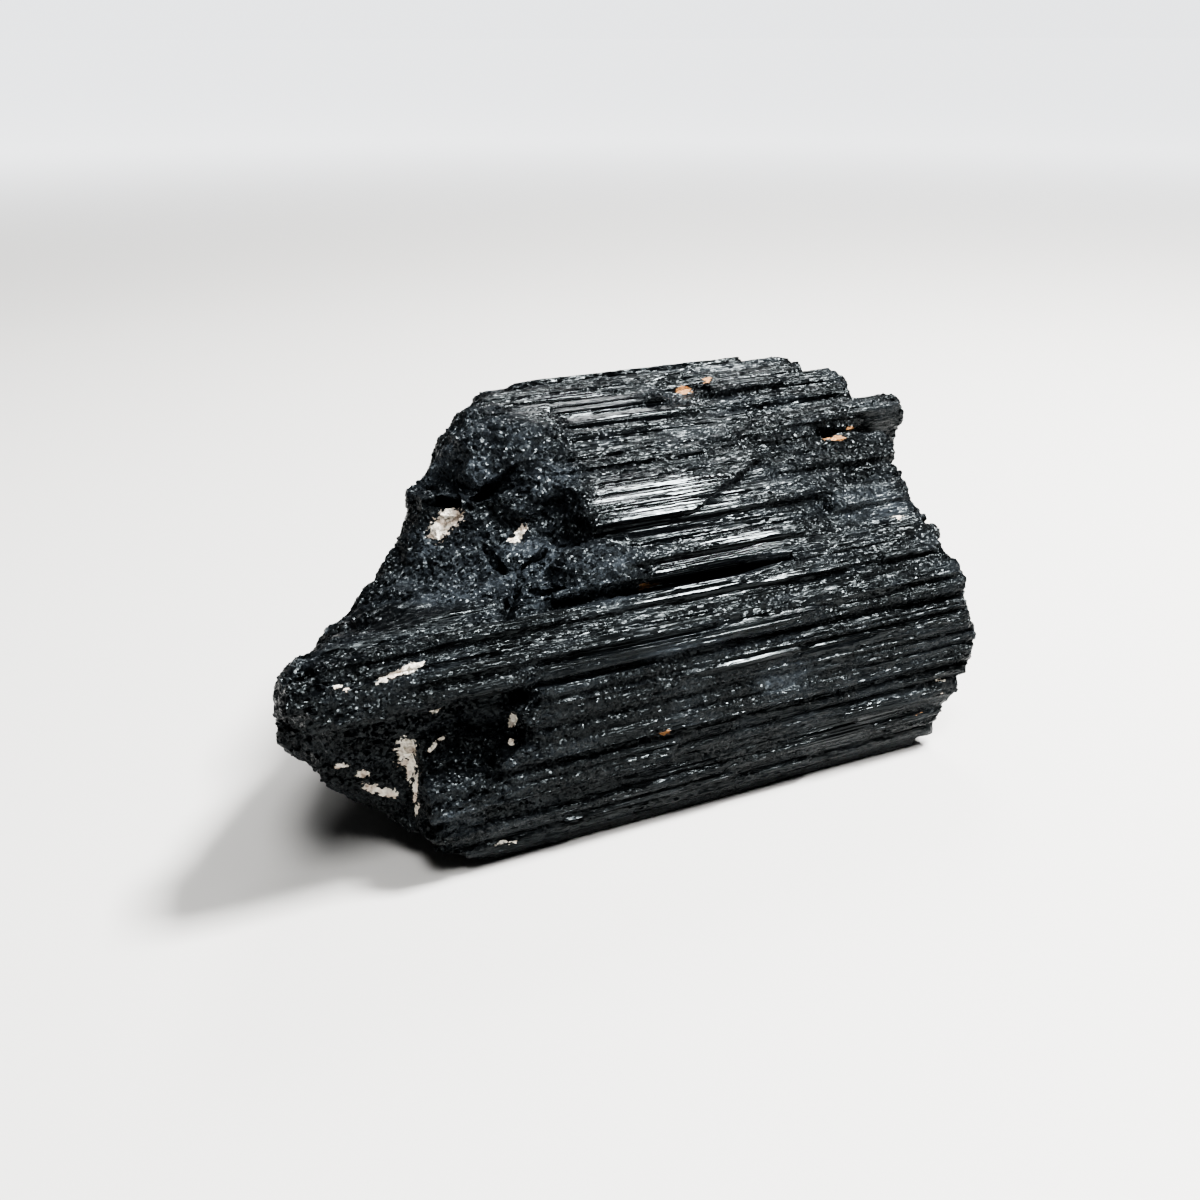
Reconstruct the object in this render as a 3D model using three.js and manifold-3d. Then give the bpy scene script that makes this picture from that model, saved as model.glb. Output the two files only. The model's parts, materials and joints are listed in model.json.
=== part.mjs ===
// Raw black tourmaline: a bundle of parallel columns grown together, ribbed lengthwise, broken at both ends.
// Millimetres, +Z up. X runs along the crystals, Y from the front to the back, and the stone lies on Z = 0.
import * as THREE from "three";
import { ImprovedNoise } from "three/addons/math/ImprovedNoise.js";
import { mergeVertices } from "three/addons/utils/BufferGeometryUtils.js";
import Module from "manifold-3d";

const wasm = await Module();
wasm.setup();

// Driving dimensions
const DEPTH = 65; // front to back across the crystals
const HEIGHT = 58; // from the face that it lies on to the top
const LEFT_TIP = -33; // the longest column's broken left end, from the front block's corner
const RIGHT_TIP = 80.5; // the longest column's right end
const RIB_ROOT = 7; // how deep a rib reaches into the body
const RIB_STEP = 0.55; // the lowest share of a rib's height that is left where it is chipped
const RIB_SHOULDER = 0.12; // how far such a stretch stands back on either side
const RIB_BREAK = 42; // the usual length between two chips
const CORE_INSET = 2.5; // the body's outline inside the girth line that the ribs stand on
const COLUMN_PITCH = 10; // between the columns that show at the right end
const COLUMN_RADIUS = 5.5;
const COLUMN_RAGGED = 3; // how unevenly these columns are broken off
const COLUMN_TILT = 0.4; // how far a column's broken end may lean
const BACK_RIB_WIDTH = [2.6, 7]; // narrowest and widest rib of the back
const BACK_RIB_HEIGHT = [0.5, 2];
const BACK_RIB_RAGGED = 6;
const BREAK_GRAIN = 3.2; // the size of a facet of the left break
const RIGHT_BREAK_GRAIN = 5;
const BREAK_ROUGH = 1.4; // how far the facets stand out
const BREAK_STEP = 0.25; // how closely they follow the break
const BREAK_SHEET = 46; // half the size of a sheet that is broken away
const LEFT_BREAK_CENTRE = [-5, 26, 32];
const BREAK_LEDGE = 34; // above this height the left break looks up and to the front
const BREAK_BACK = 24; // behind this depth it looks to the back
const FACING_LEFT = new THREE.Vector3(-1, 0, 0);
const FACING_UP = new THREE.Vector3(-0.42, -0.52, 0.74).normalize();
const FACING_BACK = new THREE.Vector3(-0.78, 0.6, 0.18).normalize();
const GIRTH_STEPS = 48; // sides of the body's outline

// The girth: the line round the bundle that the ribs stand on, as shares of the depth and the height.
// It starts at the front lower edge and goes up the front, over the top and down the back.
const GIRTH = [
  [0.03, 0.0], [0.0, 0.14], [0.0, 0.31], [0.03, 0.48], [0.1, 0.61], [0.19, 0.7], [0.31, 0.81],
  [0.46, 0.9], [0.64, 0.955], [0.81, 0.91], [0.94, 0.76], [0.99, 0.54], [0.96, 0.28], [0.86, 0.06],
  [0.62, -0.04], [0.22, -0.04],
];

// The ribs of the front and the top: the start and the end on the girth, the left and right end, the height.
const FRONT_RIBS = [
  [0, 2.6, -9, 70, 0.5],
  [2.4, 5.2, -14, 73, 1.0],
  [5.0, 6.7, -12, 73.5, 1.2],
  [6.5, 8.4, -15, 74.5, 1.3],
  [8.3, 10.3, -13, 75.5, 0.8],
  [10, 13.4, -16, 76.5, 1.3],
  [13.2, 15.6, -16, 78, 1.0],
  [15.4, 18.9, -4, 79, 1.3],
  [18.7, 21.2, 0, 79.5, 0.9],
  [21, 24.6, -1, 78.5, 1.2],
  [24.4, 27, 1, 78, 1.0],
  [26.8, 30, -30, 77.5, 1.3],
  [29.8, 32.2, LEFT_TIP, 77, 1.5],
  [32, 34.2, -32, 76, 1.1],
  [34, 36.8, -27, 74.5, 1.4],
  [38.4, 40.6, 8, 74, 0.6],
  [40.5, 43.6, 20, 52, 1.6],
  [41, 45, 52, 73, 0.8],
  [43.6, 47.4, 16, 58, 0.5],
  [43, 48.4, 56, 73, 1.6],
  [48.4, 51.6, 44, 73, 0.3],
  [51.4, 55, 45, 74.5, 1.2],
  [54.8, 57.6, 10, 75, 1.0],
  [57.4, 60, 9, 62, 1.3],
  [60, 63.8, 8, 45, 1.0],
  [63.6, 66.4, 10, 52, 1.2],
  [66.2, 70, 6, 74, 1.3],
  [69.8, 74.4, 8, 74.5, 1.5],
  [74.2, 79.5, 8, 70, 1.6],
  [46.6, 52.6, 30, 62, 1.3],
  [36.4, 38.8, 47, 75.5, 0.6],
];
// The broad glossy plate with its square broken left end and its slanting right end.
const PLATE = { from: 46.8, to: 55.2, left: 14, right: 43, height: 2.1, crest: 0.88, skew: 0, slant: 2 };
// The round column that stands out furthest at the right end and sinks into the bundle towards the left.
const ROD = { from: 59.4, to: 66.2, left: 22, right: RIGHT_TIP, height: 2.6, crest: 0.4, sink: 2.4, skew: 0 };
const BACK_FROM = 79; // the place on the girth where the ribs of the back take over
const UNDERSIDE = 46; // how much of the girth is left for the flat underside

// The left break: how far the bundle reaches to the left at each height (rows) and depth (columns).
const BREAK_DEPTHS = [-4, 5, 9, 14, 20, 28, 34, 40, 52, 70];
const BREAK_HEIGHTS = [0, 5, 10, 16, 22, 25, 30, 34.5, 37, 42, 46, 49, 53, 57, 62];
const LEFT_BREAK = [
  [-3, -4, -5, -6, -6, -5, -2, 2, 10, 18],
  [-16, -16, -17, -18, -16, -13, -9, -4, 5, 14],
  [-15, -15, -21, -25, -23, -18, -13, -8, 2, 12],
  [-15, -14, -25, -31, -27, -22, -17, -12, -2, 10],
  [-15, -14, -27, -33, -29, -23, -18, -13, -3, 9],
  [-31, -32, -32.5, -32, -28, -21.5, -16, -11, -2, 10],
  [-33, -33, -32.5, -29, -23, -17.5, -12, -7.5, 1, 13],
  [-32, -31, -28, -20, -16.5, -13.5, -8.5, -4.5, 4, 15],
  [14, 14, 14, 10, -7, -11, -6.5, -2.5, 6, 17],
  [17, 17, 17, 17, 10, -6, -4.5, -1, 8, 19],
  [17, 17, 17, 17, 14, 0, -3.5, -0.5, 9, 20],
  [17, 17, 17, 17, 16, 8, -1, 1, 10, 21],
  [17, 17, 17, 17, 17, 14, 5, 6, 14, 23],
  [17, 17, 17, 17, 17, 16, 11, 11, 18, 25],
  [17, 17, 17, 17, 17, 17, 16, 16, 22, 27],
];
// The right break: how far each height reaches to the right, and how much less that is towards the back.
const RIGHT_BREAK = [[0, 70], [10, 75], [20, 78], [32, 76], [40, 72], [50, 75], [58, 69]];
const RIGHT_BREAK_SLANT = 0.15;

// Rough lumps that stand out of the bundle: the centre, the three radii, the roughness.
const LUMPS = [
  { centre: [12.5, 32.5, 46.5], radii: [12, 10, 9.5], rough: 0.3 }, // the overhanging knob at the upper left
  { centre: [9.5, 36, 52.5], radii: [5.5, 5, 4.2], rough: 0.3 }, // the rounded upper left corner
  { centre: [17, 11.5, 36.5], radii: [8, 4, 5], rough: 0.25 }, // the smooth swelling beside the deep groove
];
// Hollows that are broken out of it.
const HOLLOWS = [
  { centre: [-9, -2, 20.5], radii: [10, 7, 4.5], rough: 0.3 }, // the gap under the lower left columns
  { centre: [44, 33, 57], radii: [6, 4, 3.5], rough: 0.3 }, // the pit in the top
  { centre: [55.5, 24.5, 54.5], radii: [2.2, 0.8, 1.6], rough: 0.3 }, // the small hole in the round column
];

// Cracks in the left break: from one end to the other, and how wide they gape.
const CRACKS = [
  { from: [3, 21.5, 40], to: [3.5, 13.5, 37], width: 0.9 },
  { from: [10.6, 15.6, 39.3], to: [3.8, 12.5, 36.5], width: 1 },
  { from: [4, 12, 36], to: [13, 8.6, 35.5], width: 0.9 },
  { from: [-4, 32, 43.5], to: [4, 25.5, 45.5], width: 1 },
  { from: [3, 25.5, 45.5], to: [9, 24.5, 48], width: 1.2 },
];
const CRACK_DEPTH = 3.5;

const black = new THREE.MeshStandardMaterial({ color: 0x101214, roughness: 0.35, metalness: 0 });
const noise = new ImprovedNoise();

// Seeded random numbers, so that every build is the same.
let seed = 7;
function random(low = 0, high = 1) {
  seed = (seed * 16807) % 2147483647;
  return low + ((high - low) * seed) / 2147483647;
}

// The value at a place of a curve that is given by its places and its values, straight between them.
function valueAt(places, values, place) {
  const next = places.findIndex((at) => at >= place);
  if (next === 0) return values[0];
  if (next < 0) return values[values.length - 1];
  return THREE.MathUtils.mapLinear(place, places[next - 1], places[next], values[next - 1], values[next]);
}

function leftBreak(across) {
  const rows = LEFT_BREAK.map((row) => valueAt(BREAK_DEPTHS, row, across.x));
  return valueAt(BREAK_HEIGHTS, rows, across.y);
}

function rightBreak(across) {
  const heights = RIGHT_BREAK.map(([height]) => height);
  const reach = RIGHT_BREAK.map(([, right]) => right);
  return valueAt(heights, reach, across.y) - RIGHT_BREAK_SLANT * Math.max(0, across.x - DEPTH / 2);
}

// A closed geometry as a solid that can be joined and cut.
function solid(geometry) {
  geometry.deleteAttribute("normal");
  geometry.deleteAttribute("uv");
  const merged = mergeVertices(geometry, 1e-4);
  const mesh = new wasm.Mesh({
    numProp: 3,
    vertProperties: merged.getAttribute("position").array,
    triVerts: new Uint32Array(merged.index.array),
  });
  return new wasm.Manifold(mesh);
}

// A prism along the crystals. The two functions place the points of its section at its start and at its end.
function prism(section, startOf, endOf) {
  const shape = new THREE.Shape(section);
  const geometry = new THREE.ExtrudeGeometry(shape, { depth: 1, bevelEnabled: false });
  const position = geometry.getAttribute("position");
  for (let i = 0; i < position.count; i++) {
    const across = new THREE.Vector2(position.getX(i), position.getY(i));
    const point = position.getZ(i) < 0.5 ? startOf(across) : endOf(across);
    position.setXYZ(i, point.x, point.y, point.z);
  }
  return solid(geometry);
}

function placed(along, across) {
  return new THREE.Vector3(along, across.x, across.y);
}

// A rough ball, stretched to its three radii.
function lump({ centre, radii, rough }) {
  const geometry = new THREE.IcosahedronGeometry(1, 3);
  const position = geometry.getAttribute("position");
  const point = new THREE.Vector3();
  for (let i = 0; i < position.count; i++) {
    point.fromBufferAttribute(position, i);
    const { x, y, z } = point;
    const wave = (grain) => noise.noise(x * grain + centre[0], y * grain + centre[1], z * grain);
    const swell = 1 + rough * (wave(2) + 0.5 * wave(4.5));
    point.multiplyScalar(swell).multiply(new THREE.Vector3(...radii)).add(new THREE.Vector3(...centre));
    position.setXYZ(i, point.x, point.y, point.z);
  }
  return solid(geometry);
}

// A crack: a thin wedge-shaped cut that is deepest in its middle.
function crack({ from, to, width }) {
  const start = new THREE.Vector3(...from);
  const run = new THREE.Vector3(...to).sub(start);
  const onward = run.clone().normalize();
  const sideways = new THREE.Vector3().crossVectors(FACING_UP, onward).normalize();
  const outward = new THREE.Vector3().crossVectors(onward, sideways);
  const geometry = new THREE.OctahedronGeometry(1, 0).scale(run.length() * 0.65, width, CRACK_DEPTH);
  geometry.applyMatrix4(new THREE.Matrix4().makeBasis(onward, sideways, outward));
  geometry.translate(...start.addScaledVector(run, 0.5).toArray());
  return solid(geometry);
}

const girth = new THREE.CatmullRomCurve3(
  GIRTH.map(([y, z]) => new THREE.Vector3(y * DEPTH, z * HEIGHT, 0)),
  true,
);
const girthLength = girth.getLength();

// The frame at a place on the girth: the point, the direction along it, and the direction out of the bundle.
function girthFrame(place) {
  const t = THREE.MathUtils.euclideanModulo(place / girthLength, 1);
  const point = girth.getPointAt(t);
  const tangent = girth.getTangentAt(t);
  return {
    point: new THREE.Vector2(point.x, point.y),
    onward: new THREE.Vector2(tangent.x, tangent.y),
    outward: new THREE.Vector2(-tangent.y, tangent.x),
  };
}

// A rib: a long column with a flat crest and two flanks. Its crest breaks off a little before its root does.
// It may sink into the bundle at its left end, and its right end may slant.
function rib({ from, to, left, right, height, crest, sink = 0, skew = random(-0.5, 0.5), slant = 0 }) {
  const { point, onward, outward } = girthFrame((from + to) / 2);
  const at = (on, out) => point.clone().addScaledVector(onward, on).addScaledVector(outward, out);
  const half = (to - from) / 2;
  const lean = random(-0.8, 0.8) * (1 - crest) * half;
  const section = [
    at(half, -RIB_ROOT),
    at(half, -0.2),
    at(lean + crest * half, height * random(0.8, 1)),
    at(lean - crest * half, height),
    at(-half, -0.2),
    at(-half, -RIB_ROOT),
  ];
  const chip = random(0.3, 1.2);
  const rise = (across) => Math.max(0, across.clone().sub(point).dot(outward));
  const on = (across) => across.clone().sub(point).dot(onward);
  return prism(
    section,
    (across) => placed(
      left + chip * rise(across) + skew * on(across),
      across.clone().addScaledVector(outward, (-sink * rise(across)) / height),
    ),
    (across) => placed(right - chip * rise(across) + (skew + slant) * on(across), across),
  );
}

// A rib as it is left after chipping: a low one over the whole length, and higher stretches that stand on it.
function chippedRib([from, to, left, right, height]) {
  const crest = random(0.5, 0.85);
  const low = height * random(RIB_STEP, 0.9);
  const stretches = [rib({ from, to, left, right, height: low, crest })];
  let start = left + random(-0.4, 0.4) * RIB_BREAK;
  while (start < right - 3) {
    const end = start + random(0.4, 1.6) * RIB_BREAK;
    const reach = { from: from + RIB_SHOULDER, to: to - RIB_SHOULDER };
    const ends = { left: Math.max(left + 0.3, start), right: Math.min(right - 0.3, end) };
    const high = height * random(0.9, 1.25);
    const isLong = ends.right - ends.left > 4;
    if (isLong) stretches.push(rib({ ...reach, ...ends, height: high, crest: crest * 0.9 }));
    start = end + random(0.1, 0.7) * RIB_BREAK;
  }
  return stretches;
}

function backRibs() {
  const ribs = [];
  let place = BACK_FROM;
  while (place < girthLength - UNDERSIDE) {
    const width = random(...BACK_RIB_WIDTH);
    const { point } = girthFrame(place + width / 2);
    const left = leftBreak(point) - 2 + random(0, BACK_RIB_RAGGED);
    const right = rightBreak(point) - random(0, BACK_RIB_RAGGED);
    ribs.push(...chippedRib([place, place + width * 1.04, left, right, random(...BACK_RIB_HEIGHT)]));
    place += width;
  }
  return ribs;
}

// The outline of the bundle, moved inwards.
function outline(inset) {
  return Array.from({ length: GIRTH_STEPS }, (_, i) => {
    const { point, outward } = girthFrame((i / GIRTH_STEPS) * girthLength);
    return point.addScaledVector(outward, -inset);
  });
}

function body() {
  const reach = (along) => (across) => placed(along, across);
  return prism(outline(CORE_INSET), reach(LEFT_TIP - 5), reach(RIGHT_TIP)).subtract(rightFace());
}

// What is broken away along a direction: a thick sheet whose near face follows the break with rough facets.
function brokenAway({ direction, centre, grain, isOutside }) {
  const size = 2 * BREAK_SHEET;
  const steps = Math.round(size / grain);
  const geometry = new THREE.BoxGeometry(size, size, size, steps, steps, 1).translate(0, 0, size / 2);
  geometry.applyQuaternion(new THREE.Quaternion().setFromUnitVectors(new THREE.Vector3(0, 0, 1), direction));
  const position = geometry.getAttribute("position");
  const wave = ({ x, y, z }, length, shift) => noise.noise(x / length + shift, y / length, z / length);
  for (let i = 0; i < position.count; i++) {
    const point = new THREE.Vector3().fromBufferAttribute(position, i);
    const isNear = point.dot(direction) < 1;
    point.add(centre);
    if (isNear) {
      point.addScaledVector(direction, BREAK_SHEET);
      for (let way = 0; way < size && isOutside(point); way += BREAK_STEP) {
        point.addScaledVector(direction, -BREAK_STEP);
      }
      const shift = new THREE.Vector3(wave(point, 5, 3), wave(point, 5, 13), wave(point, 5, 23));
      point.addScaledVector(shift, BREAK_ROUGH);
      point.addScaledVector(direction, BREAK_ROUGH * wave(point, 2.7, 33));
    }
    position.setXYZ(i, point.x, point.y, point.z);
  }
  return solid(geometry);
}

// The left break is made of three faces, each of them rough along its own direction.
function leftFaces() {
  const centre = new THREE.Vector3(...LEFT_BREAK_CENTRE);
  const past = (point, held) => point.x < leftBreak(new THREE.Vector2(point.y, point.z)) - held;
  const isElsewhere = (point) => point.z > BREAK_LEDGE || point.y > BREAK_BACK;
  const faces = [
    { direction: FACING_LEFT, isOutside: (point) => past(point, isElsewhere(point) ? 4 : 0) },
    { direction: FACING_UP, isOutside: (point) => past(point, point.y > BREAK_BACK ? 2 : 0) },
    { direction: FACING_BACK, isOutside: (point) => past(point, 0) },
  ];
  return faces.map((face) => brokenAway({ ...face, centre, grain: BREAK_GRAIN }));
}

// The right break behind the ragged ends of the columns.
function rightFace() {
  return brokenAway({
    direction: new THREE.Vector3(1, 0, 0),
    centre: new THREE.Vector3(RIGHT_TIP, DEPTH / 2, HEIGHT / 2),
    grain: RIGHT_BREAK_GRAIN,
    isOutside: (point) => point.x > rightBreak(new THREE.Vector2(point.y, point.z)),
  });
}

// True where a place across the crystals lies inside an outline.
function inside(place, line) {
  return line.reduce((within, a, i) => {
    const b = line[(i + 1) % line.length];
    const crosses = a.y > place.y !== b.y > place.y;
    const at = a.x + ((b.x - a.x) * (place.y - a.y)) / (b.y - a.y);
    return crosses && place.x < at ? !within : within;
  }, false);
}

// The six-sided columns that fill the bundle. They show only where they are broken off at the right end.
function innerColumns() {
  const limit = outline(COLUMN_RADIUS * 0.7);
  const columns = [];
  const rows = Math.ceil(HEIGHT / (COLUMN_PITCH * 0.87));
  const places = Math.ceil(DEPTH / COLUMN_PITCH);
  for (let row = 0; row <= rows; row++) {
    for (let place = 0; place <= places; place++) {
      const centre = new THREE.Vector2(
        (place + (row % 2) / 2) * COLUMN_PITCH + random(-1, 1),
        row * COLUMN_PITCH * 0.87 + random(-1, 1),
      );
      if (!inside(centre, limit)) continue;
      const turn = random(0, Math.PI);
      const section = Array.from({ length: 6 }, (_, i) => {
        const angle = turn + ((i + random(-0.3, 0.3)) * Math.PI) / 3;
        const radius = COLUMN_RADIUS * random(0.7, 1.3);
        return new THREE.Vector2(Math.cos(angle), Math.sin(angle)).multiplyScalar(radius).add(centre);
      });
      const right = rightBreak(centre) + random(-0.8, 0.4) * COLUMN_RAGGED;
      const lean = new THREE.Vector2(random(-1, 1), random(-1, 1)).multiplyScalar(COLUMN_TILT);
      const tilt = (across) => lean.dot(across.clone().sub(centre));
      columns.push(prism(
        section,
        (across) => placed(right - 20, across),
        (across) => placed(right + tilt(across), across),
      ));
    }
  }
  return columns;
}

const ground = new THREE.BoxGeometry(400, 400, 60).translate(0, 0, -30);
const columns = [body(), ...innerColumns()];
const ribs = [...FRONT_RIBS.flatMap(chippedRib), rib(PLATE), rib(ROD), ...backRibs()];
const whole = [...columns, ...ribs].reduce((joined, column) => joined.add(column));
const bundle = leftFaces().reduce((left, face) => left.subtract(face), whole);
const lumpy = LUMPS.reduce((joined, piece) => joined.add(lump(piece)), bundle);
const cuts = [...HOLLOWS.map(lump), ...CRACKS.map(crack), solid(ground)];
const stone = cuts.reduce((left, piece) => left.subtract(piece), lumpy);

const { vertProperties, triVerts } = stone.getMesh();
const geometry = new THREE.BufferGeometry();
geometry.setAttribute("position", new THREE.BufferAttribute(vertProperties, 3));
geometry.setIndex(new THREE.BufferAttribute(triVerts, 1));
geometry.computeVertexNormals();
geometry.computeBoundingBox();

// The origin goes under the middle of the stone.
const middle = geometry.boundingBox.getCenter(new THREE.Vector3());
const tourmaline = new THREE.Mesh(geometry, black);
tourmaline.name = "tourmaline";
tourmaline.position.set(-middle.x, -middle.y, 0);

const part = new THREE.Group();
part.add(tourmaline);
export default part;
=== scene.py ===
# %% [markdown]
# # A raw black tourmaline
#
# Black tourmaline grows as a bundle of long three-sided columns. Their sides are ribbed from end to end and
# shine like glass, and where the bundle breaks it shows a rough, sugary fracture. This lesson takes the plain
# faceted solid of such a stone and gives it the relief and the finish of the real mineral.
#
# The solid comes first, because everything else is shaped from it. It is kept, and hidden once the
# finished stone takes its place.

# %% Load the solid
import json
import math

import bpy
import numpy as np
from mathutils import Matrix, Vector
from mathutils.bvhtree import BVHTree

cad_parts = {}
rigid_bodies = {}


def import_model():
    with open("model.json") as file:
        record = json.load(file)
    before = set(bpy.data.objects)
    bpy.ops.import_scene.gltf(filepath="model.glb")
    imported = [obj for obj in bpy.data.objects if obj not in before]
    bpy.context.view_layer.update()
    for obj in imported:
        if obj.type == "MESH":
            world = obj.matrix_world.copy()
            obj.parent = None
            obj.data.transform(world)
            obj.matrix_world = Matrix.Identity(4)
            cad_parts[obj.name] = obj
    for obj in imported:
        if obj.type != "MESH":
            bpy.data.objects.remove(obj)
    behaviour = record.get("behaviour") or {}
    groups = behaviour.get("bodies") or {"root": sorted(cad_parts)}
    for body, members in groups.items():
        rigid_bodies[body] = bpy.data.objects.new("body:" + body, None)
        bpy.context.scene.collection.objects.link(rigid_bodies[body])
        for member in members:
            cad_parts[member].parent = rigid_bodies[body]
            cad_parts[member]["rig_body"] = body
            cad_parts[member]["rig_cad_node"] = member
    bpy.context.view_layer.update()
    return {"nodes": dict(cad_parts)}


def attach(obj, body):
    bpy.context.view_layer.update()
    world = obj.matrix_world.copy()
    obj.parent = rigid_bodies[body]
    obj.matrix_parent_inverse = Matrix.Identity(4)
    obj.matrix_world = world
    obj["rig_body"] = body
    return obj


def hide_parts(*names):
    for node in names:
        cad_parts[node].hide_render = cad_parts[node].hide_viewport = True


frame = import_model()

MM = 0.001


# %% [markdown]
# ## The camera
#
# The camera is set first, because some places of the stone are found later by looking through it. It is near
# the stone, to the left of its front and a little above it. A camera could be aimed with a constraint, but
# two plain angles are easier to read and stay the same for ever.

# %% Set up the camera
CAMERA_PLACE = Vector((-83.9, -178.3, 108.8)) * MM
CAMERA_PITCH = math.radians(66.47)
CAMERA_TURN = math.radians(-26)
CAMERA_LENS = 39
SENSOR_WIDTH = 36
NEAREST_SEEN = 10 * MM
PHOTO_SIZE = 1200

bpy.ops.object.camera_add(location=CAMERA_PLACE, rotation=(CAMERA_PITCH, 0, CAMERA_TURN))
camera = bpy.context.active_object
camera.name = "camera"
camera.data.lens = CAMERA_LENS
camera.data.sensor_width = SENSOR_WIDTH
camera.data.clip_start = NEAREST_SEEN
bpy.context.scene.camera = camera
camera_axes = camera.rotation_euler.to_matrix()
print("camera looks along", [round(value, 2) for value in camera_axes @ Vector((0, 0, -1))])

# %% [markdown]
# ## A copy to work on
#
# The solid itself stays as it is, so the work starts with a duplicate. Its triangles are loose, so the
# corners that share a place are merged. The copy is then one closed skin, which the next step needs.

# %% Copy the solid
SAME_PLACE = 0.001 * MM


def only(piece):
    """Selects one piece and nothing else."""
    bpy.ops.object.select_all(action="DESELECT")
    piece.select_set(True)
    bpy.context.view_layer.objects.active = piece


def triangles(piece):
    return sum(len(face.vertices) - 2 for face in piece.data.polygons)


only(frame["nodes"]["tourmaline"])
bpy.ops.object.duplicate()
stone = bpy.context.active_object
stone.name = "tourmaline_stone"
stone.data.name = "tourmaline_stone"
bpy.ops.object.parent_clear(type="CLEAR_KEEP_TRANSFORM")
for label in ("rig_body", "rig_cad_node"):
    del stone[label]
bpy.ops.object.mode_set(mode="EDIT")
bpy.ops.mesh.select_all(action="SELECT")
bpy.ops.mesh.remove_doubles(threshold=SAME_PLACE)
bpy.ops.object.mode_set(mode="OBJECT")
print("copied", triangles(stone), "triangles")

# %% [markdown]
# ## A fine skin that follows the grain
#
# The ribs of the stone are narrow across and long, so the skin needs many points across the crystals and few
# along them. A voxel remesh makes even squares. So the stone is squeezed along the crystals, remeshed, and
# stretched back, and each square becomes a long tile that lies with the grain. A plain subdivision would
# follow the solid's uneven triangles instead.

# %% Remesh along the grain
GRAIN_STRETCH = 2.4
SKIN_PITCH = 0.27 * MM


def apply_modifier(piece, kind, **settings):
    """Adds a modifier, sets it and applies it."""
    only(piece)
    modifier = piece.modifiers.new(kind.lower(), kind)
    for name, value in settings.items():
        setattr(modifier, name, value)
    bpy.ops.object.modifier_apply(modifier=modifier.name)


def stretch_along(piece, share):
    only(piece)
    piece.scale.x = share
    bpy.ops.object.transform_apply(location=False, rotation=False, scale=True)


stretch_along(stone, 1 / GRAIN_STRETCH)
apply_modifier(stone, "REMESH", mode="VOXEL", voxel_size=SKIN_PITCH)
stretch_along(stone, GRAIN_STRETCH)
print("remeshed to", triangles(stone), "triangles")

# %% [markdown]
# ## Finding places on the stone
#
# Some places of this stone have a character of their own. Each is found by looking through the camera at one
# pixel of the picture, so it lies on the stone wherever that is. The mesh then keeps how near each point is
# to the middle of such a place, and the relief and the finish read that later. Painting on the stone would do
# it as well, but then it would hang on an image file.

# %% Look through the camera
PLACE_DEPTH = 7


def points_of(piece):
    places = np.empty(len(piece.data.vertices) * 3)
    piece.data.vertices.foreach_get("co", places)
    return places.reshape(-1, 3)


def seen_at(skin, across, down):
    """The place on the stone at a pixel of the picture."""
    half = PHOTO_SIZE / 2
    reach = CAMERA_LENS / SENSOR_WIDTH * PHOTO_SIZE
    sight = camera_axes @ Vector((across - half, half - down, -reach))
    return skin.ray_cast(CAMERA_PLACE, sight.normalized())[0]


def mark_places(piece, name, marks, depth):
    """Keeps on the mesh how near each point is: one in the middle of a mark, a half at its edge."""
    skin = BVHTree.FromObject(piece, bpy.context.evaluated_depsgraph_get())
    points = points_of(piece)
    nearest = np.zeros(len(points))
    for across, down, length, width, tilt in marks:
        middle = seen_at(skin, across, down)
        if middle is None:
            continue
        axes = np.array(camera_axes @ Matrix.Rotation(math.radians(tilt), 3, "Z"))
        away = (points - np.array(middle)) @ axes / MM
        share = np.linalg.norm(away / (length / 2, width / 2, depth), axis=1)
        nearest = np.maximum(nearest, 1 - share / 2)
    layer = piece.data.attributes.new(name, "FLOAT", "POINT")
    layer.data.foreach_set("value", nearest.astype(np.float32))
    print(len(marks), "places marked", name)


print("a place reaches", PLACE_DEPTH, "mm into the stone")

# %% [markdown]
# ## Sugary and glassy places
#
# Where the bundle is broken away, on its left end and in the hollow under it, the stone is lumpy and looks
# like black sugar. One plate of the front slope, a strip of the top and some thin bands of the front are
# whole, and they shine like glass. No rule would find these places, so they are listed.

# %% Mark the sugary and the glassy places
# Each place: pixels across and down in the picture, length and width in mm, tilt in degrees
SUGARY = [
    (490, 575, 26, 22, 0),
    (600, 570, 17, 9, 8),
    (545, 485, 14, 16, 0),
    (470, 455, 22, 20, 0),
    (380, 775, 26, 14, 0),
    (455, 800, 18, 20, 0),
    (530, 720, 8, 16, 0),
    (300, 700, 10, 16, 0),
    (345, 735, 26, 12, -20),
    (430, 725, 16, 9, 0),
]
GLASSY = [
    (668, 503, 36, 12, 10),
    (600, 410, 34, 9, 8),
    (745, 541, 18, 4, 9),
    (690, 572, 40, 5, 10),
    (850, 724, 26, 4, 17),
    (690, 592, 24, 2.4, 10),
    (760, 585, 26, 2.0, 10),
    (765, 622, 24, 2.0, 12),
    (640, 645, 30, 2.0, 12),
    (757, 658, 20, 2.4, 13),
    (850, 640, 20, 2.0, 13),
]

mark_places(stone, "sugary", SUGARY, PLACE_DEPTH)
mark_places(stone, "glassy", GLASSY, PLACE_DEPTH)
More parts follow.
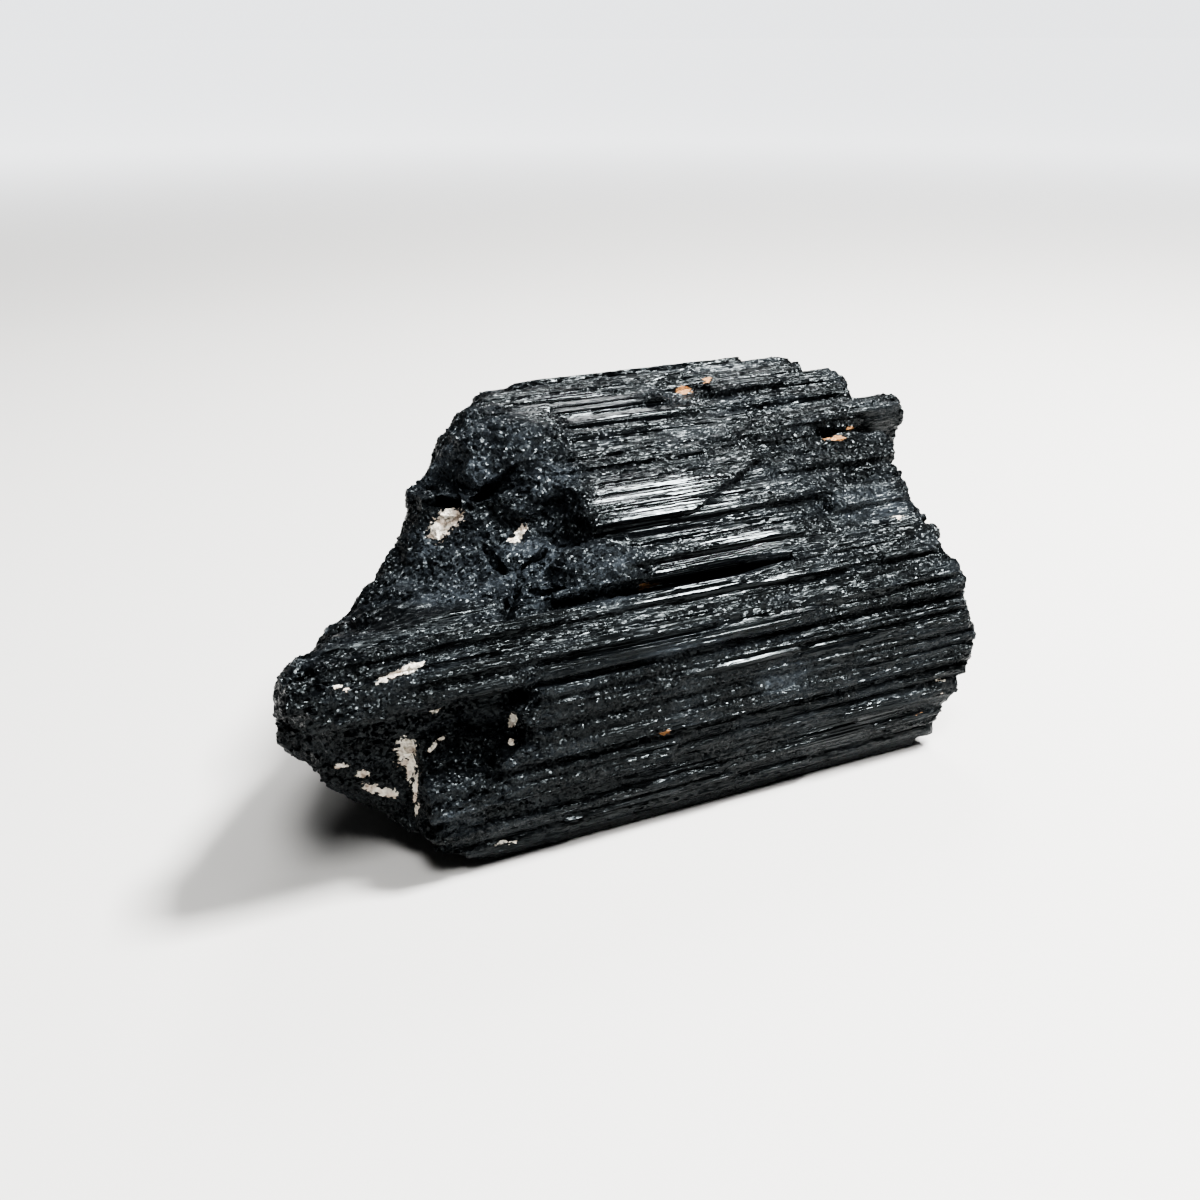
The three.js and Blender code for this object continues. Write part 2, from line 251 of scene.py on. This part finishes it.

# %% [markdown]
# ## Worn, cracked, swollen and frosted places, and a painted sheen
#
# Some ribs are worn, and chips have come off them. A few narrow cracks run through the broken left end. Two
# places swell a little, where the solid's grooves end too deep. On frosted places a grey-blue dust lies
# between the grains, and the same grey-blue also stands there as a painted sheen, which lightens the broken
# faces where they catch the light. They are marked in the same way as the others.

# %% Mark the worn, cracked, swollen and frosted places, and the painted sheen
WORN = [
    (830, 450, 30, 17, 10),
    (835, 505, 16, 8, 10),
    (530, 775, 34, 20, 15),
    (480, 810, 20, 16, 15),
    (370, 690, 30, 16, 14),
    (640, 690, 30, 8, 14),
    (760, 675, 18, 8, 14),
]
CRACKED = [
    (497, 561, 6.0, 1.5, -48),
    (533, 563, 5.5, 1.7, 45),
    (512, 597, 8.5, 1.7, 80),
    (445, 503, 11, 1.7, 0),
    (497, 485, 9.5, 2.2, 40),
    (390, 550, 14, 2.2, 45),
    (345, 610, 13, 2.2, 57),
]
SWOLLEN = [
    (788, 555, 18, 7, 10),
    (838, 436, 8, 5, 5),
]
# Frosted places: grey-blue dust, and a painted sheen where the broken faces catch the light
FROSTED_AND_SHEEN = [
    (485, 572, 26, 20, 0),
    (600, 572, 15, 9, 8),
    (870, 505, 14, 5, 8),
    (780, 675, 9, 4, 14),
    (690, 640, 16, 4, 14),
    (455, 822, 7, 4, 0),
    (465, 455, 20, 14, 0),
    (545, 490, 10, 12, 0),
]

mark_places(stone, "worn", WORN, PLACE_DEPTH)
mark_places(stone, "cracked", CRACKED, PLACE_DEPTH)
mark_places(stone, "swollen", SWOLLEN, PLACE_DEPTH)
mark_places(stone, "frosted_and_sheen", FROSTED_AND_SHEEN, PLACE_DEPTH)

# %% [markdown]
# ## Arithmetic with nodes
#
# The relief is drawn with geometry nodes and the finish with shader nodes, and both are full of small sums.
# Joining Math nodes by hand hides such a sum, so one small class wraps a node's output: adding or multiplying
# two of them adds the Math node. Any other node comes from the one method that makes nodes.

# %% Wrap the node sockets
def enabled(sockets, key):
    """The socket of that name or number that the node's settings leave in use."""
    used = [socket for socket in sockets if socket.enabled]
    return used[key] if isinstance(key, int) else next(socket for socket in used if socket.name == key)


class Wire:
    """What comes out of a node. Sums of wires add Math nodes to the tree that is being drawn."""

    tree = None

    def __init__(self, socket):
        self.socket = socket

    @classmethod
    def node(cls, kind, settings=None, inputs=None, output=0):
        made = cls.tree.nodes.new(kind)
        for name, value in (settings or {}).items():
            setattr(made, name, value)
        for key, value in (inputs or {}).items():
            socket = enabled(made.inputs, key)
            if isinstance(value, Wire):
                cls.tree.links.new(value.socket, socket)
            else:
                socket.default_value = value
        return cls(enabled(made.outputs, output)) if made.outputs else made

    @classmethod
    def sum(cls, operation, *values):
        return cls.node("ShaderNodeMath", {"operation": operation}, dict(enumerate(values)))

    def __add__(self, other):
        return self.sum("ADD", self, other)

    def __sub__(self, other):
        return self.sum("SUBTRACT", self, other)

    def __rsub__(self, other):
        return self.sum("SUBTRACT", other, self)

    def __mul__(self, other):
        return self.sum("MULTIPLY", self, other)

    __radd__ = __add__
    __rmul__ = __mul__

    def vector(self, operation, other):
        return self.node("ShaderNodeVectorMath", {"operation": operation}, {0: self, 1: other})

    def scaled(self, factor):
        return self.node("ShaderNodeVectorMath", {"operation": "SCALE"}, {0: self, "Scale": factor})

    def ramp(self, low, high):
        """Nothing below low, one above high, and smooth between them."""
        return self.node(
            "ShaderNodeMapRange",
            {"interpolation_type": "SMOOTHSTEP"},
            {"Value": self, "From Min": low, "From Max": high},
        )


print("sums of wires:", [name for name in ("add", "sub", "mul") if hasattr(Wire, f"__{name}__")])

# %% [markdown]
# ## Patterns of the mineral
#
# Four patterns make nearly everything on this stone. Waves are plain noise. Rods are the cells of a Voronoi
# pattern that is stretched along the crystals, with a groove where two cells meet. Facets are cells too, but
# each one is tilted its own way, like the grains of a fracture. Pits are the few cells that are sunk.
#
# Sizes are given in millimetres, along the crystals and across them. Every pattern also has a shift, which
# moves it to another part of the endless noise, so that no two of them lie on each other.

# %% Draw the patterns
COLOUR_MIDDLE = (0.5, 0.5, 0.5)
PIT_FLOOR = 0.1
PIT_RIM = 0.45


def grain_space(point, along, across, shift=0):
    """The place of a point in a pattern of that size, in millimetres."""
    size = (1 / along, 1 / across, 1 / across)
    inputs = {0: point, 1: size, 2: (shift,) * 3}
    return Wire.node("ShaderNodeVectorMath", {"operation": "MULTIPLY_ADD"}, inputs)


def waves(point, along, across, detail=2.0, shift=0, output=0):
    place = grain_space(point, along, across, shift)
    return Wire.node("ShaderNodeTexNoise", None, {"Vector": place, "Scale": 1.0, "Detail": detail}, output)


def cells(point, along, across, shift=0, feature="F1", output="Distance"):
    place = grain_space(point, along, across, shift)
    return Wire.node("ShaderNodeTexVoronoi", {"feature": feature}, {"Vector": place, "Scale": 1.0}, output)


def rods(point, along, across, shift=0, groove=0.3):
    """One on the crest of a rod, falling to nothing in the groove beside it."""
    edge = cells(point, along, across, shift, "DISTANCE_TO_EDGE")
    low = 1 - edge.ramp(0, groove)
    return 1 - low * low


def facets(point, along, across, shift=0):
    """The height of tilted grains, about a half up and down."""
    place = grain_space(point, along, across, shift)
    grain = {"Vector": place, "Scale": 1.0}
    tilt = Wire.node("ShaderNodeTexVoronoi", None, grain, "Color").vector("SUBTRACT", COLOUR_MIDDLE)
    middle = Wire.node("ShaderNodeTexVoronoi", None, grain, "Position")
    away = place.vector("SUBTRACT", middle)
    return Wire.node("ShaderNodeVectorMath", {"operation": "DOT_PRODUCT"}, {0: away, 1: tilt}, "Value")


def pits(point, along, across, share, shift=0):
    """One in the middle of a pit. Only that share of the cells is a pit."""
    lot = Wire.node("ShaderNodeSeparateXYZ", None, {0: cells(point, along, across, shift, output="Color")})
    depth = 1 - cells(point, along, across, shift).ramp(PIT_FLOOR, PIT_RIM)
    return depth * lot.ramp(1 - share, 1 - share * 0.7)


print("patterns:", [pattern.__name__ for pattern in (waves, rods, facets, pits)])

# %% [markdown]
# ## Sides and breaks
#
# The sides of the crystals are ribbed, and the breaks are rough. The two are told apart by the skin itself: a
# side never faces along the crystals, and a break does. That is blurred over the neighbouring points, so that
# one kind runs into the other, and the sugary places count as breaks too. Two materials with a sharp border
# would look like two stones.

# %% Tell the breaks from the sides
SKIN_BLUR = 24
FACING_OF_BREAKS = (0.1, 0.34)
EDGE_OF_PLACES = (0.4, 0.6)


def layer_of(name):
    """What the mesh keeps under that name."""
    return Wire.node("GeometryNodeInputNamedAttribute", {"data_type": "FLOAT"}, {"Name": name}, "Attribute")


def broken_share():
    """One on a break or a sugary place, nothing on a ribbed side."""
    normal = Wire.node("GeometryNodeInputNormal")
    facing = Wire.node("ShaderNodeSeparateXYZ", None, {0: normal}, "X")
    spread = Wire.node(
        "GeometryNodeBlurAttribute",
        {"data_type": "FLOAT"},
        {"Value": Wire.sum("ABSOLUTE", facing), "Iterations": SKIN_BLUR},
    )
    sugary = layer_of("sugary").ramp(*EDGE_OF_PLACES)
    return Wire.sum("MAXIMUM", spread.ramp(*FACING_OF_BREAKS), sugary)


print("blurred over", SKIN_BLUR, "rings of points")

# %% [markdown]
# ## Heights of the relief
#
# On the sides the relief is ribs: rods of two sizes, which wander a little. Long tilted grains lie over them.
# Where a side is worn it is chipped, and has pits and short scratches, and where it is glassy it is nearly
# even. On the breaks the relief is coarse and fine tilted grains, with pits between them. All heights are in
# millimetres, so they can be compared with the real stone.

# %% Shape the sides and the breaks
RIB_WANDER = 0.5
RIB_HEIGHT = 0.2
FINE_RIB_HEIGHT = 0.09
LONG_GRAIN_HEIGHT = 0.2
SHORT_GRAIN_HEIGHT = 0.12
SIDE_PIT_DEPTH = 0.3
SCRATCH_DEPTH = 0.1
BREAK_GRAIN_HEIGHT = 0.6
BREAK_PIT_DEPTH = 0.5


def side_height(point):
    """The relief of a ribbed side in millimetres, and the share that is chipped."""
    wander = waves(point, 80, 20, 1.0, 5, "Color").vector("SUBTRACT", COLOUR_MIDDLE).scaled(RIB_WANDER)
    bent = point.vector("ADD", wander)
    even = layer_of("glassy").ramp(*EDGE_OF_PLACES)
    rubbed = layer_of("worn").ramp(0.3, 0.7)
    worn = Wire.sum("MAXIMUM", waves(point, 22, 7, 2.0, 13).ramp(0.3, 0.6), rubbed) * (1 - even)
    chipped = (waves(point, 4, 1.2, 3.0, 11) + rubbed * 0.12).ramp(0.5, 0.58) * worn
    ribs = (rods(bent, 300, 2.2, 0, 0.1) - 0.85) * RIB_HEIGHT
    fine_ribs = (rods(bent, 120, 0.8, 3, 0.25) - 0.75) * FINE_RIB_HEIGHT
    long_grains = facets(point, 2.4, 0.8, 2) * LONG_GRAIN_HEIGHT
    short_grains = facets(point, 1.1, 0.5, 21) * SHORT_GRAIN_HEIGHT
    grains = (long_grains + short_grains) * (0.4 + worn * 0.6) * (1 - even * 0.8)
    sunk = pits(point, 2.0, 0.7, 0.2) * SIDE_PIT_DEPTH
    scratched = waves(bent, 6, 0.55, 2.0, 19).ramp(0.56, 0.66) * SCRATCH_DEPTH
    height = (ribs + fine_ribs) * (1 - chipped * 0.6) + grains - (sunk + scratched) * worn
    return height, chipped


def break_height(point):
    coarse = facets(point, 2.2, 2.2, 4) * BREAK_GRAIN_HEIGHT
    fine = facets(point, 0.9, 0.9, 7) * BREAK_GRAIN_HEIGHT
    return coarse + fine - pits(point, 1.7, 1.7, 0.25, 3) * BREAK_PIT_DEPTH


print("ribs of", RIB_HEIGHT, "mm and grains of", BREAK_GRAIN_HEIGHT, "mm")

# %% [markdown]
# ## The relief
#
# The heights move each point of the skin along its normal. Cracks with ragged edges are cut into them and the
# swollen places are raised. The breaks are also pushed about as lumps, in any direction, because a fracture
# has overhangs. Nothing goes below the face that the stone rests on. Sculpting could do all this too, but
# nodes can be changed later, and they give the same stone each time.

# %% Model the relief
CRACK_DEPTH = 2.2
SWELLING = 0.7
LUMP_SIZE = 1.6
RESTING_FACE = (-1, -1, 0)


def begin_relief():
    tree = bpy.data.node_groups.new("relief", "GeometryNodeTree")
    for way in ("INPUT", "OUTPUT"):
        tree.interface.new_socket("Geometry", in_out=way, socket_type="NodeSocketGeometry")
    Wire.tree = tree
    return tree


def store(geometry, name, value):
    inputs = {"Geometry": geometry, "Name": name, "Value": value}
    return Wire.node("GeometryNodeStoreNamedAttribute", {"data_type": "FLOAT", "domain": "POINT"}, inputs)


def relief():
    tree = begin_relief()
    geometry = Wire.node("NodeGroupInput")
    point = Wire.node("GeometryNodeInputPosition").scaled(1 / MM)
    broken = broken_share()
    ribbed, chipped = side_height(point)
    ragged = waves(point, 2, 2, 3.0, 29) * 0.3
    cracks = (layer_of("cracked") + ragged - 0.15).ramp(0.45, 0.75) * CRACK_DEPTH
    swollen = layer_of("swollen").ramp(0.4, 0.8) * SWELLING
    height = ribbed * (1 - broken) + break_height(point) * broken - cracks + swollen
    stirred = waves(point, 6, 5, 3.0, 17, "Color").vector("SUBTRACT", COLOUR_MIDDLE)
    lumps = stirred.scaled(broken * LUMP_SIZE)
    shift = Wire.node("GeometryNodeInputNormal").scaled(height).vector("ADD", lumps).scaled(MM)
    geometry = store(store(geometry, "broken", broken), "chipped", chipped)
    geometry = Wire.node("GeometryNodeSetPosition", None, {"Geometry": geometry, "Offset": shift})
    above = Wire.node("GeometryNodeInputPosition").vector("MAXIMUM", RESTING_FACE)
    geometry = Wire.node("GeometryNodeSetPosition", None, {"Geometry": geometry, "Position": above})
    Wire.node("NodeGroupOutput", None, {"Geometry": geometry})
    return tree


apply_modifier(stone, "NODES", node_group=relief())
print("relief on", triangles(stone), "triangles")

# %% [markdown]
# ## Fewer triangles
#
# The skin is now finer than it needs to be where the stone is even. The Decimate modifier joins triangles
# there first and leaves the edges of the relief. Edges that turn sharply are then kept crisp by smooth
# shading that stops at an angle, because a broken crystal isn't soft.

# %% Thin out and shade
MOST_TRIANGLES = 190000
CRISP_ANGLE = math.radians(38)

apply_modifier(stone, "TRIANGULATE")
apply_modifier(stone, "DECIMATE", ratio=min(1, MOST_TRIANGLES / triangles(stone)))
only(stone)
bpy.ops.object.shade_smooth_by_angle(angle=CRISP_ANGLE)
print("kept", triangles(stone), "triangles")

# %% [markdown]
# ## Where the pale patches sit
#
# White feldspar and rust are grown into the surface as thin films, so they are marked on the finished skin.
# Only their places are kept here. The finish breaks up their edges.

# %% Mark the patches
FELDSPAR = [
    (441, 526, 4.8, 3.0, 55),
    (451, 517, 3.6, 2.8, 10),
    (521, 531, 2.4, 1.2, 55),
    (514, 540, 2.0, 0.9, 10),
    (410, 668, 3.6, 1.2, 22),
    (390, 676, 3.4, 0.9, 28),
    (337, 686, 1.2, 0.7, 0),
    (346, 690, 1.2, 0.7, 40),
    (407, 747, 5.4, 2.7, 70),
    (411, 768, 4.2, 1.3, 80),
    (415, 790, 5.0, 0.8, 80),
    (417, 808, 2.4, 0.7, 75),
    (388, 793, 3.2, 1.5, -8),
    (372, 788, 2.6, 1.2, -15),
    (362, 774, 1.8, 1.2, 20),
    (341, 766, 2.2, 0.8, 15),
    (436, 710, 1.6, 0.7, 20),
    (513, 720, 2.6, 1.2, 62),
    (511, 742, 1.2, 0.9, 60),
    (432, 748, 2.6, 0.5, 50),
    (442, 738, 1.8, 0.5, 25),
    (505, 843, 2.6, 0.8, 0),
    (899, 517, 2.6, 0.7, 5),
    (940, 680, 2.2, 0.6, -10),
    (943, 691, 1.4, 0.6, 30),
]
RUST = [
    (683, 390, 3.4, 1.5, 5),
    (707, 380, 2.0, 1.2, 40),
    (836, 438, 4.2, 1.0, 4),
    (850, 429, 2.2, 0.8, 10),
    (649, 586, 5.0, 1.2, 5),
    (665, 732, 2.0, 1.2, 0),
    (918, 713, 1.2, 1.0, 0),
]
PATCH_DEPTH = 3.5

mark_places(stone, "feldspar", FELDSPAR, PATCH_DEPTH)
mark_places(stone, "rust", RUST, PATCH_DEPTH)

# %% [markdown]
# ## The colour
#
# The mineral is black all through. A grey-blue dust lies on it in clouds. On the frosted places more of the
# same grey-blue is laid on as a painted sheen, which lightens broken faces where they catch the light.
# Feldspar is cream with pinkish clouds, and rust is ochre. Mix nodes lay these over the black, each where
# its own share is one.

# %% Mix the colour
BLACK = (0.0035, 0.0042, 0.005, 1)
# Grey-blue of the dust, also used as the painted sheen of the frosted places
DUST_AND_SHEEN = (0.040, 0.047, 0.055, 1)
CREAM = (0.86, 0.80, 0.70, 1)
PINKISH = (0.72, 0.60, 0.50, 1)
OCHRE = (0.50, 0.26, 0.12, 1)


def blend_colours(share, first, second):
    inputs = {"Factor": share, "A": first, "B": second}
    return Wire.node("ShaderNodeMix", {"data_type": "RGBA"}, inputs, "Result")


def painted(name):
    """What the mesh keeps under that name, as the shader reads it."""
    return Wire.node("ShaderNodeAttribute", {"attribute_name": name}, None, "Fac")


def colour_of_stone(point, glassy, pale, rusty):
    # Painted sheen: the frosted share adds grey-blue beyond the dust clouds, lightening the broken faces
    frosted_and_sheen = painted("frosted_and_sheen").ramp(0.3, 0.7)
    clouds = waves(point, 9, 4, 6.0, 31).ramp(0.45, 0.7) * (0.3 + frosted_and_sheen * 0.7)
    dust_and_sheen = (clouds + frosted_and_sheen * 0.45) * (1 - glassy * 0.8)
    colour = blend_colours(dust_and_sheen, BLACK, DUST_AND_SHEEN)
    feldspar = blend_colours(waves(point, 2, 2, 3.0, 37).ramp(0.45, 0.65), CREAM, PINKISH)
    colour = blend_colours(pale, colour, feldspar)
    return blend_colours(rusty, colour, OCHRE)


print("black with dust, cream, pinkish and ochre")

# %% [markdown]
# ## The gloss
#
# What changes most over the stone is its gloss. The ribs shine in long streaks, the glassy places shine most,
# and chips and breaks are duller, with single grains that flash. Feldspar and rust don't shine at all. The
# roughness alone carries this, because a stone this dark is seen almost only by its reflections.

# %% Set the gloss
GLOSSY_ROUGHNESS = 0.24
STREAK_ROUGHNESS = 0.14
GRAIN_ROUGHNESS = 0.36
FLASH_OF_GRAINS = 0.18
PATCH_ROUGHNESS = 0.6


def roughness_of_stone(point, glassy, coarse, dull):
    streaks = waves(point, 26, 0.8, 3.0, 41).ramp(0.35, 0.7)
    sides = (GLOSSY_ROUGHNESS + streaks * STREAK_ROUGHNESS) * (1 - glassy * 0.5)
    grains = GRAIN_ROUGHNESS - waves(point, 0.5, 0.5, 2.0, 43).ramp(0.55, 0.7) * FLASH_OF_GRAINS
    return (sides + coarse * (grains - sides)) * (1 - dull) + dull * PATCH_ROUGHNESS


print("roughness from", GLOSSY_ROUGHNESS / 2, "to", PATCH_ROUGHNESS)

# %% [markdown]
# ## The finest grain
#
# Finer than the mesh can be, the sides have hair-thin lines and small long flakes that catch the light, and
# the breaks are covered with tiny tilted grains. The glassy places have neither, only a slow swell that bends
# their reflections. A Bump node draws this, because it is too small to change the outline.

# %% Draw the finest grain
LINE_HEIGHT = 0.05
THREAD_HEIGHT = 0.1
SWELL_HEIGHT = 0.5
FLAKE_HEIGHT = 0.42
TINY_SUGAR_HEIGHT = 0.65
SUGAR_HEIGHT = 0.5


def fine_height(point, glassy, coarse):
    """The height in millimetres of what is finer than the mesh."""
    lines = waves(point, 40, 0.3, 3.0, 47) * LINE_HEIGHT + rods(point, 200, 1.1, 6, 0.16) * THREAD_HEIGHT
    swell = waves(point, 24, 6, 1.0, 53) * SWELL_HEIGHT
    flakes = facets(point, 0.9, 0.3, 9) * FLAKE_HEIGHT + facets(point, 2.2, 0.6, 15) * FLAKE_HEIGHT
    sparkling = 0.5 + waves(point, 12, 3, 3.0, 61).ramp(0.4, 0.62) * 0.5
    sides = lines + flakes * sparkling * (1 - glassy * 0.9) + swell * glassy
    sugar = facets(point, 0.4, 0.4, 12) * TINY_SUGAR_HEIGHT + facets(point, 0.8, 0.8, 18) * SUGAR_HEIGHT
    return sides * (1 - coarse) + sugar * coarse


print("flakes of", FLAKE_HEIGHT, "mm and sugar of", SUGAR_HEIGHT, "mm")

# %% [markdown]
# ## The finish
#
# Colour, gloss and fine grain come together in one shader. The patches get their ragged edges here, from fine
# noise that is added to their places. The mineral's refraction, its weak reflection and its cold tint are the
# same all over, so they are set on the shader's own sockets.

# %% Make the finish
TOURMALINE_IOR = 1.64
TOURMALINE_SHINE = 0.22
TOURMALINE_TINT = (0.88, 0.98, 1.0, 1)


def finish_of_stone():
    material = bpy.data.materials.new("black_tourmaline")
    material.use_nodes = True
    material.node_tree.nodes.clear()
    Wire.tree = material.node_tree
    point = Wire.node("ShaderNodeTexCoord", None, None, "Object").scaled(1 / MM)
    glassy = painted("glassy").ramp(0.35, 0.65)
    coarse = Wire.sum("MAXIMUM", painted("broken"), painted("chipped"))
    ragged = waves(point, 0.7, 0.5, 4.0, 23) - 0.5
    pale = (painted("feldspar") + ragged * 1.1).ramp(0.47, 0.57)
    rusty = (painted("rust") + ragged * 0.9).ramp(0.5, 0.62)
    dull = Wire.sum("MAXIMUM", pale, rusty)
    fine = fine_height(point, glassy, coarse)
    shader = Wire.node("ShaderNodeBsdfPrincipled", None, {
        "Base Color": colour_of_stone(point, glassy, pale, rusty),
        "Roughness": roughness_of_stone(point, glassy, coarse, dull),
        "IOR": TOURMALINE_IOR,
        "Specular IOR Level": TOURMALINE_SHINE,
        "Specular Tint": TOURMALINE_TINT,
        "Normal": Wire.node("ShaderNodeBump", None, {"Height": fine, "Strength": 1.0, "Distance": MM}),
    })
    Wire.node("ShaderNodeOutputMaterial", None, {"Surface": shader})
    return material


stone.data.materials.clear()
stone.data.materials.append(finish_of_stone())
print("finish with", len(stone.active_material.node_tree.nodes), "nodes")

# %% [markdown]
# ## The stone in its place
#
# The finished stone takes the place of the plain solid and moves with it.

# %% Put the stone in the frame
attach(stone, "root")
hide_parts("tourmaline")
print("stone rides on root")

# %% [markdown]
# ## The floor
#
# The floor is a plain pale plane, far larger than the view. The lights only reach the floor near the stone,
# so further away it glows as brightly as the surroundings. Floor and surroundings then run into each other
# with no horizon, as on a roll of studio paper. A curved backdrop would show its edges from other sides.

# %% Lay the floor
FLOOR_SIZE = 60
FLOOR_COLOUR = (0.66, 0.65, 0.63, 1)
FLOOR_ROUGHNESS = 0.6
NO_GLOW = (0, 0, 0, 1)
SURROUNDINGS = (0.95, 0.97, 1.0, 1)
SURROUNDINGS_LIGHT = 0.05
SURROUNDINGS_SEEN = 1.4
LIT_FLOOR = 0.4
FAR_FLOOR = 1.4


def finish_of_floor():
    """Pale paint that glows like the surroundings where the lights no longer reach it."""
    material = bpy.data.materials.new("pale_floor")
    material.use_nodes = True
    material.node_tree.nodes.clear()
    Wire.tree = material.node_tree
    place = Wire.node("ShaderNodeTexCoord", None, None, "Object")
    away = Wire.node("ShaderNodeVectorMath", {"operation": "LENGTH"}, {0: place}, "Value")
    shader = Wire.node("ShaderNodeBsdfPrincipled", None, {
        "Base Color": FLOOR_COLOUR,
        "Roughness": FLOOR_ROUGHNESS,
        "Emission Color": blend_colours(away.ramp(LIT_FLOOR, FAR_FLOOR), NO_GLOW, SURROUNDINGS),
        "Emission Strength": SURROUNDINGS_SEEN,
    })
    Wire.node("ShaderNodeOutputMaterial", None, {"Surface": shader})
    return material


bpy.ops.mesh.primitive_plane_add(size=FLOOR_SIZE)
floor = bpy.context.active_object
floor.name = "floor"
floor.data.materials.append(finish_of_floor())
print("floor of", FLOOR_SIZE, "m")

# %% [markdown]
# ## The light
#
# A compact soft light hangs high on the right, where the glossy plate of the front slope mirrors it to the
# camera and the grains flash. A broader one fills from the upper left, and a weak one behind the stone draws
# its upper edge. A wide, faint sun lights the floor evenly. The surroundings give hardly any light, because a
# black stone under an even white sky would look grey.

# %% Set up the lights
AIM = Vector((0, 0, 25)) * MM
KEY_DIRECTION = (0.49, -0.14, 0.86)
# Each light: name, direction from the stone, distance and size in metres, power in watts
SOFT_LIGHTS = [
    ("overhead", KEY_DIRECTION, 0.8, 0.18, 17),
    ("upper_left", (-0.14, -0.42, 0.90), 1.0, 0.3, 7),
    ("behind", (0.38, 0.64, 0.66), 0.9, 0.25, 2),
]
SUN_STRENGTH = 0.3
SUN_WIDTH = math.radians(40)


def facing_from(direction):
    """The turn of a lamp that shines from that direction."""
    return direction.to_track_quat("Z", "Y").to_euler()


def soft_light(name, towards, distance, size, power):
    """A square soft light in that direction from the stone, turned to it."""
    direction = Vector(towards).normalized()
    place = AIM + direction * distance
    bpy.ops.object.light_add(type="AREA", location=place, rotation=facing_from(direction))
    light = bpy.context.active_object
    light.name = name
    light.data.size = size
    light.data.energy = power
    light.visible_camera = False


for soft in SOFT_LIGHTS:
    soft_light(*soft)

bpy.ops.object.light_add(type="SUN", rotation=facing_from(Vector(KEY_DIRECTION)))
daylight = bpy.context.active_object
daylight.name = "daylight"
daylight.data.energy = SUN_STRENGTH
daylight.data.angle = SUN_WIDTH

# %% [markdown]
# ## The surroundings
#
# The camera sees pale surroundings, and the stone gets only a little light from them. The Light Path node
# tells the two apart. A contrasty view keeps the black of the stone deep beside the pale floor.

# %% Paint the surroundings
world = bpy.data.worlds.new("surroundings")
world.use_nodes = True
Wire.tree = world.node_tree
background = world.node_tree.nodes["Background"]
background.inputs["Color"].default_value = SURROUNDINGS
seen = Wire.node("ShaderNodeLightPath", None, None, "Is Camera Ray")
strength = seen * SURROUNDINGS_SEEN + SURROUNDINGS_LIGHT
world.node_tree.links.new(strength.socket, background.inputs["Strength"])
bpy.context.scene.world = world
bpy.context.scene.view_settings.look = "AgX - High Contrast"
print("surroundings seen at", SURROUNDINGS_SEEN, "and lit at", SURROUNDINGS_LIGHT)
